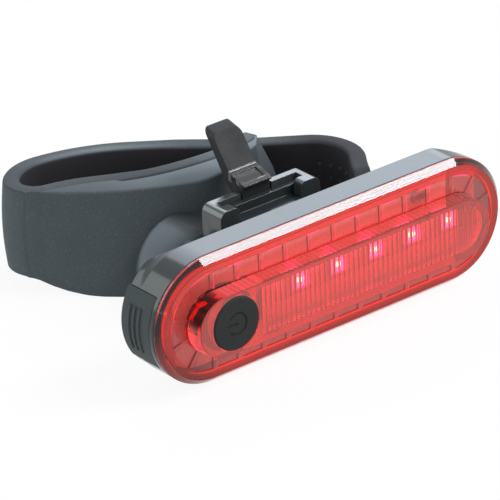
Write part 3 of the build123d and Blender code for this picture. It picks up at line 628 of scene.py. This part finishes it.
# Strap, in mm: x to the right, depth behind the rim, height above the floor. follow reads the lists of pairs.
# The last colours here are the painted light and painted shade that the strap's tone attribute lays on its top
# edge, inner wall, cradle and grip dots.
strapLook = dict(
    colour=(75, 83, 86), speck=(132, 138, 132), specks=0.5, patches=0.4, relief=0.03, tone="strapPaintedLightShade",
    pale=(130, 140, 148), paleShare=0.75, paintedShadeColour=(44, 43, 48), plain=dict(Specular_IOR_Level=0.3))
strapShape = dict(
    width=18.5, thickness=3.0, topEdge=0.65, edge=0.4, sharpAngle=35.0,
    rise=3.4, riseFrom=-16.0, riseTo=12.0,                   # the front run climbs to the right
    seamGap=0.2, seamFrom=-13.0, seamOverlap=0.9,            # between band and head
    headEdges=[0.5, 0.35, 0.35, 0.5], headLeast=0.8, sunk=0.3, sunkFrom=-24.0, sunkTo=-27.0,
    noseSlant=0.48, noseFrom=5.0, noseReach=8.0, slope=[(15.5, 14.0), (20.5, 18.5)],
    lean=[(-28, 0), (-27, 0.4), (-25.3, 1.5), (-24, 2.4), (-22.8, 3.2), (-20.8, 4.6), (-18, 5.5),
          (-13, 5.5), (-4, 1.0), (2, 0)],
    leanDepth=[(20, 1), (47, 1), (53, 0)], leanPower=1.2,
    lift=[(-29, 2.6), (-27.5, 2.2), (-26, 1.2), (-24.5, 0.5), (-22.5, 0)],
    rearUp=[(40, 0), (46, 0.5), (57, 0.5)], bulge=[(-29, 0.7), (-25, 0.5), (-21, 0)],
    # The tone pairs below paint light and shade along the strap's top edge by x, from 1 for painted light to
    # -1 for painted shade; the rim's tone puts a painted shade on the rear run's outer edge, and the lip's
    # sizes a painted shade on the inner wall.
    headPaintedLightShade=[(-28, -0.1), (-16, 0.1), (-8, 0.5), (-2, 0.9)],
    frontPaintedLightShade=[(-28, -0.3), (-20, -0.4), (-8, -0.6), (2, 0.3)],
    rearPaintedLightShade=[(-25, -0.5), (-18, 0.3), (-8, 0.8), (0, 0.3), (5, -0.1), (16, -0.2), (22, -1.0)],
    rimPaintedShade=-0.3, rimFrom=-24.0, rimTo=-20.0, toneFrom=-0.35, toneTo=-0.15, lipHeight=0.25, lipSoft=0.2,
    innerShare=0.95)
arcSteps = 12         # stations on each arc of a path
bandRun = dict(
    root=(13.5, 23.0), start=(13.5, 16.6), heading=-90.0, rootSteps=6,
    noseArcs=2, noseDepth=24.5, gripArc=2, frontArcs=3,
    points=[(20.2, 14.9), (23.2, 19.6), (21.4, 31.4), (-3.4, 49.9), (-18.9, 56.4), (-27.0, 53.2),
            (-24.6, 46.3), (-9.8, 39.9), (0.9, 34.2), (10.9, 34.0)])
headRun = dict(
    start=(-28.6, 47.0), heading=-40.7, points=[(-20.0, 40.4), (-6.1, 29.8), (4.5, 28.4), (8.9, 30.0)],
    tip=(11.0, 32.2), tipSteps=7)
# The grip dots carry a painted shade through their tone.
nubShape = dict(columns=4, rows=3, pitch=2.4, radius=0.55, height=0.4, sunk=0.1, around=16, rings=6,
                tone=-0.8)
cradleShape = dict(
    left=-17.0, right=13.5, front=20.5, rear=32.0, bottom=2.6, top=14.0, corner=8.0, edge=1.4,
    reliefWidth=3.3, reliefFrom=4.6, reliefTo=18.5, reliefDepth=2.9, reliefStep=0.01, station=8.0,
    cornerSteps=9,
    # Painted light and shade on the block: a highlight on its top towards the rear, shade at its front and
    # towards the bracket.
    depthPaintedLightShade=[(20.5, -0.9), (21.9, -0.1), (30.6, 0.9), (32, -0.3)], sidePaintedShade=[(-12, 0.0), (-9, -1.3)],
    toneLimits=(-0.9, 1.2),
    cheekIn=11.1, cheekWidth=3.5, cheekFront=17.7, cheekLip=19.25, wing=13.3, cheekOverlap=1.0,
    cheekCorner=[(-0.8, 0.0), (-0.2, 0.25), (0.0, 0.9)],     # offsets from its outer front corner
    cheekFoot=[(0.0, 0.96), (0.25, 1.0)], cheekHead=[(-0.6, 1.0), (-0.15, 0.97), (0.0, 0.9)])


def follow(pairs, value):
    # Size at a place, straight between the (place, size) pairs and level past the ends.
    return np.interp(value, *np.array(pairs).T)


def ramp(value, low, high):
    # clip((value - low) / (high - low)) to 0..1.
    return np.clip((value - low) / (high - low), 0, 1)


def unit(vectors):
    # Each vector over its own length.
    return vectors / np.linalg.norm(vectors, axis=1)[:, None]


def outwards(path):
    # Unit normals to the right of the path, which is the outside of the loop: (along y, -along x).
    along = unit(np.gradient(path, axis=0))
    return np.stack([along[:, 1], -along[:, 0]], 1)


def arcRun(run):
    # Tangent arcs through the points: along an arc to q with half turn a,
    # p(t) = p + |q - p| sin(a t) / sin(a) in the direction heading + a t; the next leaves at heading + 2 a.
    place, heading = np.array(run["start"], float), math.radians(run["heading"])
    parts, share = [place[None]], np.linspace(0, 1, arcSteps + 1)[1:]
    for target in np.array(run["points"], float):
        chord = target - place
        half = (math.atan2(chord[1], chord[0]) - heading + math.pi) % (2 * math.pi) - math.pi
        reach = np.hypot(*chord) * (np.sin(half * share) / math.sin(half) if abs(half) > 1e-6 else share)
        angle = heading + half * share
        parts.append(place + np.stack([reach * np.cos(angle), reach * np.sin(angle)], 1))
        place, heading = target, heading + 2 * half
    return np.concatenate(parts)


def roundedSection(across, up, corners, perCorner=5, perWall=10, fullest=0.95):
    # Rounded rectangle at each station: corner centre (side (half width - r), side (half height - r)) plus
    # r (cos, sin); across and up are half sizes along the path, corners the radii from outer top, leftwards,
    # kept to the fullest share of a half size. Both upright walls get evenly spaced columns of their own.
    turn = np.linspace(0, math.pi / 2, perCorner)
    sideA, sideB = np.repeat([1, -1, -1, 1], perCorner), np.repeat([1, 1, -1, -1], perCorner)
    angle = np.concatenate([turn + k * math.pi / 2 for k in range(4)])
    radius = np.minimum(np.repeat(corners, perCorner)[None, :], fullest * np.minimum(across, up)[:, None])
    wide = sideA * (across[:, None] - radius) + radius * np.cos(angle)
    tall = sideB * (up[:, None] - radius) + radius * np.sin(angle)
    share = np.linspace(0, 1, perWall + 2)[1:-1]

    def wall(sideways, low, high):
        heights = tall[:, low, None] + (tall[:, high, None] - tall[:, low, None]) * share
        return np.broadcast_to(sideways * across[:, None], heights.shape), heights

    half = 2 * perCorner
    walls = wall(-1, half - 1, half), wall(1, 2 * half - 1, 0)
    return [np.concatenate([line[:, :half], walls[0][k], line[:, half:], walls[1][k]], 1)
            for k, line in enumerate((wide, tall))]


def ringQuads(rows, columns):
    # Numbers of a grid's points, those of their neighbours along the row, which runs round, and its faces:
    # (i, j), (i, j + 1), (i + 1, j + 1), (i + 1, j).
    index = np.arange(rows * columns).reshape(rows, columns)
    after = np.roll(index, -1, axis=1)
    return index, after, np.stack([index[:-1], after[:-1], after[1:], index[1:]], -1).reshape(-1, 4)


def closedGrid(points):
    # Faces of a grid of points, each end closed by a fan to its middle. Turned outwards where the volume,
    # the sum of a . (b x c) over the triangles, is negative.
    rows, columns = points.shape[:2]
    index, after, quads = ringQuads(rows, columns)
    middles = np.stack([points[0].mean(0), points[-1].mean(0)])
    first = np.stack([after[0], index[0], np.full(columns, rows * columns)], -1)
    last = np.stack([index[-1], after[-1], np.full(columns, rows * columns + 1)], -1)
    points = np.concatenate([points.reshape(-1, 3), middles])
    faces = quads.tolist() + first.tolist() + last.tolist()
    triangles = points[np.concatenate([quads[:, [0, 1, 2]], quads[:, [0, 2, 3]]])]
    volume = np.einsum("ij,ij->i", triangles[:, 0], np.cross(triangles[:, 1], triangles[:, 2])).sum()
    return points, [face[::-1] for face in faces] if volume < 0 else faces


def piece(name, body, points, faces, material, slotName, tone=None):
    # Mesh from points in mm and their faces, with a tone of painted light and shade for each point where one
    # is given.
    mesh = bpy.data.meshes.new(name)
    mesh.from_pydata((points * mm).tolist(), [], faces)
    if tone is not None:
        values = np.concatenate([tone.ravel(), np.zeros(len(mesh.vertices) - tone.size)])
        mesh.attributes.new("strapPaintedLightShade", "FLOAT", "POINT").data.foreach_set("value", values)
    mesh.validate()
    smoothed(mesh, strapShape["sharpAngle"])
    mesh.materials.append(material)
    thing = addObject(name, mesh)
    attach(thing, body)
    return thing


def riseAt(x, shape):
    # Front run climbs by rise s^2 (3 - 2 s), with s from 0 at riseFrom to 1 at riseTo.
    share = ramp(x, shape["riseFrom"], shape["riseTo"])
    return shape["rise"] * share ** 2 * (3 - 2 * share)


def settle(points, shape):
    # Front wall leans out below: y - lean(x) (1 - z / width)^power, and the left bend's lower edge lifts by
    # lift(x) (1 - z / width); the rear of the loop stands up by rearUp(y) z / width; the left end bulges by
    # bulge(x) sin(pi (1 - z / width)).
    low = np.clip(1 - points[..., 2] / shape["width"], 0, 1)
    lean = follow(shape["lean"], points[..., 0]) * follow(shape["leanDepth"], points[..., 1] - rimY)
    points[..., 1] -= lean * low ** shape["leanPower"]
    points[..., 2] += follow(shape["lift"], points[..., 0]) * low
    points[..., 2] += follow(shape["rearUp"], points[..., 1] - rimY) * (1 - low)
    points[..., 0] -= follow(shape["bulge"], points[..., 0]) * np.sin(math.pi * low)
    return points


def strapBand(shape, run, material):
    # Rounded strip carried along its path: p = path + outward normal * across, height = middle + up + rise.
    # Painted light and shade along the top edge, a painted shade on the rear run's outer edge, and a painted
    # shade on the inner wall below its lip.
    path = np.concatenate([np.linspace(run["root"], run["start"], run["rootSteps"] + 1)[:-1], arcRun(run)])
    station = np.arange(len(path))
    isFront = station >= len(path) - run["frontArcs"] * arcSteps - 1
    isNose = (station < run["rootSteps"] + run["noseArcs"] * arcSteps) & (path[:, 1] < run["noseDepth"])
    ceiling = np.where(isNose, follow(shape["slope"], path[:, 0]), shape["width"])
    lift = np.where(isFront, riseAt(path[:, 0], shape), 0.0)
    wide, tall = roundedSection(np.full(len(path), shape["thickness"] / 2), ceiling / 2,
                                [shape["edge"], shape["topEdge"], shape["edge"], shape["edge"]])
    plan = path[:, None, :] + outwards(path)[:, None, :] * wide[..., None]
    grid = np.dstack([plan, tall + (ceiling / 2 + lift)[:, None]])
    grid[..., 1] += rimY
    grid = settle(grid, shape)
    x, top = grid[..., 0], ceiling[:, None] / 2
    # Painted light and shade on the top edge by x; the rear run's outer edge gets a painted shade, and the
    # inner wall a painted shade below the lip.
    pale = np.where(isFront[:, None], follow(shape["frontPaintedLightShade"], x), follow(shape["rearPaintedLightShade"], x))
    outerEdge = (wide > shape["thickness"] / 4) & ~isFront[:, None]
    rimmed = pale + (np.minimum(pale, shape["rimPaintedShade"]) - pale) * ramp(x, shape["rimFrom"], shape["rimTo"])
    tone = np.where(outerEdge, rimmed, pale) * ramp(tall - top, shape["toneFrom"], shape["toneTo"])
    isInner = wide < -shape["innerShare"] * shape["thickness"] / 2
    tone = tone - ramp(top - shape["lipHeight"] - tall, 0, shape["lipSoft"]) * isInner
    return piece("strapBand", "mount", *closedGrid(grid), material, "strap_rubber", tone=tone)


def strapHead(shape, run, band, material):
    # Lofted head: section from the band's outer side, a seam gap off it, to the head's own outer line.
    tipLine = np.linspace(run["points"][-1], run["tip"], run["tipSteps"] + 1)[1:]
    outer = np.concatenate([arcRun(run), tipLine])
    outer[:, 1] += shape["sunk"] * ramp(outer[:, 0], shape["sunkFrom"], shape["sunkTo"])
    tail = arcRun(band)[-band["frontArcs"] * arcSteps - 1:]
    overlap = shape["seamOverlap"] * (tail[:, 0] < shape["seamFrom"])
    near = tail + outwards(tail) * (shape["thickness"] / 2 + shape["seamGap"] - overlap)[:, None]
    innerY = np.maximum(np.interp(outer[:, 0], near[:, 0], near[:, 1]), outer[:, 1] + shape["headLeast"])
    height = np.full(len(outer), shape["width"] / 2)
    wide, tall = roundedSection((innerY - outer[:, 1]) / 2, height, shape["headEdges"])
    under = np.minimum(height[:, None] - tall, shape["noseReach"])
    onward = ramp(outer[:, 0], shape["noseFrom"], run["tip"][0])   # the end slants to the right going down
    grid = np.dstack([outer[:, :1] + shape["noseSlant"] * under * (onward ** 2)[:, None],
                      (outer[:, 1] + innerY)[:, None] / 2 - wide + rimY,
                      tall + (height + riseAt(outer[:, 0], shape))[:, None]])
    grid = settle(grid, shape)
    # Painted light and shade along the head's top edge, paler to the right.
    tone = follow(shape["headPaintedLightShade"], grid[..., 0])
    tone = tone * ramp(tall - height[:, None], shape["toneFrom"], shape["toneTo"])
    return piece("strapHead", "mount", *closedGrid(grid), material, "strap_rubber", tone=tone)


def strapCradle(shape, material):
    # Block behind the bracket: front and rear line carried along X, the top falling and the front drawing
    # back by r - sqrt(r^2 - inset^2) at its left corner; a slanted relief makes room for the latch.
    corner, relief, far = shape["corner"], shape["reliefWidth"], shape["station"]
    bend = shape["left"] + corner * (1 - np.cos(np.linspace(0, math.pi / 2, shape["cornerSteps"])))
    wider = relief + shape["reliefStep"]
    x = np.concatenate([bend, [-far, -wider, -relief, 0, relief, wider, far, shape["right"]]])
    inset = np.clip(shape["left"] + corner - x, 0, corner)
    drop = corner - np.sqrt(np.maximum(corner ** 2 - inset ** 2, 0))
    top, front = shape["top"] - drop, shape["front"] + drop
    half = (top - shape["bottom"]) / 2
    wide, tall = roundedSection((shape["rear"] - front) / 2, half, [shape["edge"]] * 4)
    z = tall + (half + shape["bottom"])[:, None]
    y = wide + ((shape["rear"] + front) / 2)[:, None]
    inRelief = (np.abs(x) <= relief)[:, None] & (wide < 0)
    cut = (z - shape["reliefFrom"]) / (shape["reliefTo"] - shape["reliefFrom"]) * shape["reliefDepth"]
    y = y + np.where(inRelief, np.clip(cut, 0, None), 0)
    grid = np.stack([np.broadcast_to(x[:, None], y.shape), y + rimY, z], -1)
    # Painted highlight on the top towards the rear, painted shade at the front and towards the bracket.
    tone = follow(shape["depthPaintedLightShade"], y) + follow(shape["sidePaintedShade"], x)[:, None]
    tone = np.clip(tone, *shape["toneLimits"])
    return piece("strapCradle", "mount", *closedGrid(grid), material, "strap_rubber", tone=tone)


def strapCheek(name, side, shape, material):
    # L-shaped lip round a wing of the bracket: p = (centre + (outline - centre) * scale, height), with a scale
    # just below 1 at foot and head.
    inner, outer, front = shape["cheekIn"], shape["cheekIn"] + shape["cheekWidth"], shape["cheekFront"]
    rear = shape["front"] + shape["cheekOverlap"]
    corner = [(outer + x, front + y) for x, y in shape["cheekCorner"]]
    wing, lip = shape["wing"], shape["cheekLip"]
    outline = np.array([(inner, front)] + corner + [(outer, rear), (wing, rear), (wing, lip), (inner, lip)])
    rows = np.array([(shape["bottom"] + z, scale) for z, scale in shape["cheekFoot"]]
                    + [(shape["top"] + z, scale) for z, scale in shape["cheekHead"]])
    centre = outline.mean(0)
    plan = centre + (outline[None] - centre) * rows[:, 1][:, None, None]
    height = np.broadcast_to(rows[:, :1], plan.shape[:2])
    grid = np.dstack([side * plan[..., 0], plan[..., 1] + rimY, height])
    return piece(name, "mount", *closedGrid(grid), material, "strap_rubber")


def strapNubs(shape, run, nubs, material):
    # Grip dots on the inner wall: half balls with p = middle + r cos a (cos t along + sin t up)
    # + (height sin a - sunk) inward.
    stations = arcRun(run)[run["gripArc"] * arcSteps:(run["gripArc"] + 1) * arcSteps + 1]
    picks = (np.arange(nubs["columns"]) + 1) / (nubs["columns"] + 1) * (len(stations) - 1)

    def picked(values):
        return np.stack([np.interp(picks, np.arange(len(values)), values[:, k]) for k in (0, 1)], 1)

    turn = np.linspace(0, 2 * math.pi, nubs["around"] + 1)[:-1]
    rise = np.linspace(0, math.pi / 2, nubs["rings"])
    disc = [nubs["radius"] * np.outer(np.cos(rise), ring) for ring in (np.cos(turn), np.sin(turn))]
    out = np.outer(np.sin(rise), np.ones(nubs["around"])) * nubs["height"] - nubs["sunk"]
    quads = ringQuads(nubs["rings"], nubs["around"])[2]
    points, faces = [], []
    for spot, along in zip(picked(stations), unit(picked(np.gradient(stations, axis=0)))):
        inward = np.array([-along[1], along[0]])
        base = spot + inward * shape["thickness"] / 2 + (0, rimY)
        for row in range(nubs["rows"]):
            level = axisZ + (row - (nubs["rows"] - 1) / 2) * nubs["pitch"]
            ball = np.dstack([base + disc[0][..., None] * along + out[..., None] * inward, level + disc[1]])
            faces += (quads + len(points) * disc[0].size).tolist()
            points.append(ball.reshape(-1, 3))
    points = np.concatenate(points)
    # The grip dots are painted in shade.
    return piece("strapNubs", "mount", points, faces, material, "strap_rubber",
                 tone=np.full(len(points), nubs["tone"]))


strapRubber = softRubber("strapRubber", strapLook)
band = strapBand(strapShape, bandRun, strapRubber)
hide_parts("strap")
strapHead(strapShape, headRun, bandRun, strapRubber)
strapCradle(cradleShape, strapRubber)
for cheekName, side in (("strapCheekLeft", -1), ("strapCheekRight", 1)):
    strapCheek(cheekName, side, cradleShape, strapRubber)
strapNubs(strapShape, bandRun, nubShape, strapRubber)
print("strap made")


# Studio, in metres: white room and floor, four area lamps. across is the way a lamp's long side points.
studio = dict(
    fill=0.48, fillColour=(0.95, 0.98, 1.0, 1), aim=(0.0, -0.004, 0.012),
    floorSize=3.0, floorWhite=0.92, floorTints=((236, 236, 236), (240, 240, 240)), floorRoughness=0.9,
    lamps=dict(
        keyLamp=dict(towards=(0.555, -0.369, 0.741), distance=1.0, size=(0.5, 0.26), radiance=19.0,
                     across=(0.8, 0.15, -0.55), colour=(1.0, 0.98, 1.0)),
        rearPanel=dict(towards=(0.44, 0.704, 0.53), distance=1.2, size=(0.95, 0.45), radiance=3.0,
                       across=(0.8, 0.0, -0.6), colour=(0.8, 0.92, 1.05)),
        sidePanel=dict(towards=(-0.57, 0.704, 0.42), distance=1.2, size=(0.82, 0.4), radiance=2.3,
                       across=(0.59, 0.0, 0.8), colour=(0.9, 1.0, 1.0)),
        leftPanel=dict(towards=(-0.9, -0.35, 0.35), distance=1.2, size=(0.7, 0.5), radiance=1.6,
                       across=(0.3, -0.9, 0.0), colour=(0.96, 0.98, 1.0))))


def seenRays(tree):
    # 1 for camera, glossy and transmission rays, which meet plain white; 0 for those that light the scene.
    rays = tree.nodes.new("ShaderNodeLightPath")
    seen = Field(tree, rays.outputs["Is Camera Ray"]).most(Field(tree, rays.outputs["Is Glossy Ray"]))
    return seen.most(Field(tree, rays.outputs["Is Transmission Ray"]))


def makeWorld(look):
    # Soft fill light all round, plain white where it is seen.
    world = bpy.data.worlds.new("studioWorld")
    bpy.context.scene.world = world
    world.use_nodes = True
    tree = world.node_tree
    fillLight, backdrop = tree.nodes["Background"], tree.nodes.new("ShaderNodeBackground")
    lights = (fillLight, look["fillColour"], look["fill"]), (backdrop, white, 1.0)
    for background, colour, strength in lights:
        background.inputs["Color"].default_value = colour
        background.inputs["Strength"].default_value = strength
    shown = blended(tree, seenRays(tree), fillLight.outputs[0], backdrop.outputs[0])
    tree.links.new(shown, tree.nodes["World Output"].inputs[0])


def makeFloor(look):
    # White floor that keeps a little of the shadow: floorWhite of it glows where it is seen.
    half = look["floorSize"] / 2
    mesh = bpy.data.meshes.new("studioFloor")
    corners = [(-half, -half, 0), (half, -half, 0), (half, half, 0), (-half, half, 0)]
    mesh.from_pydata(corners, [], [(0, 1, 2, 3)])
    floor = addObject("studioFloor", mesh)
    material, tree, shader = newMaterial("paleFloor", look["floorRoughness"], Specular_IOR_Level=0.0)
    cloud = mottle(tree, objectPlace(tree), 3.0, 2.0)
    first, second = look["floorTints"]
    plug(tree, mixed(tree, cloud, tint(*first), tint(*second)), shader.inputs["Base Color"])
    glow = tree.nodes.new("ShaderNodeEmission")
    glow.inputs["Color"].default_value = white
    glow.inputs["Strength"].default_value = 1.0
    shown = blended(tree, seenRays(tree) * look["floorWhite"], shader.outputs[0], glow.outputs[0])
    tree.links.new(shown, tree.nodes["Material Output"].inputs["Surface"])
    mesh.materials.append(material)


def turned(across, up, back):
    # Rotation whose X, Y and Z axes are the three directions.
    return mathutils.Matrix((across, up, back)).transposed()


def makeLamp(name, look, aim):
    # Area lamp of a plain radiance: power = radiance * pi * area.
    lamp = bpy.data.lights.new(name, "AREA")
    lamp.shape, (lamp.size, lamp.size_y) = "RECTANGLE", look["size"]
    lamp.color = look["colour"]
    lamp.energy = look["radiance"] * math.pi * look["size"][0] * look["size"][1]
    thing = addObject(name, lamp)
    towards, across = mathutils.Vector(look["towards"]).normalized(), mathutils.Vector(look["across"])
    across = (across - towards * across.dot(towards)).normalized()
    thing.location = mathutils.Vector(aim) + towards * look["distance"]
    thing.rotation_euler = turned(across, towards.cross(across), towards).to_euler()
    thing.visible_camera = False


makeWorld(studio)
makeFloor(studio)
for lampName, look in studio["lamps"].items():
    makeLamp(lampName, look, studio["aim"])

# Camera fitted to the photograph: place in metres, focal length and sensor in mm.
cameraLook = dict(
    place=(-0.459428, -0.564105, 0.374393), focal=345.22, sensor=36.0, near=0.01, far=20.0,
    right=(0.772972, -0.633291, -0.038177), up=(0.307604, 0.321463, 0.895567),
    back=(-0.554882, -0.703992, 0.443285))


def makeCamera(look):
    # Camera at its place, with the axes right, up and back.
    data = bpy.data.cameras.new("photoCamera")
    data.lens, data.sensor_width, data.sensor_fit = look["focal"], look["sensor"], "HORIZONTAL"
    data.clip_start, data.clip_end = look["near"], look["far"]
    camera = addObject("photoCamera", data)
    turn = turned(look["right"], look["up"], look["back"]).to_4x4()
    camera.matrix_world = mathutils.Matrix.Translation(look["place"]) @ turn
    bpy.context.scene.camera = camera


makeCamera(cameraLook)
bpy.context.scene.view_settings.view_transform = "Standard"
print("studio and camera set")
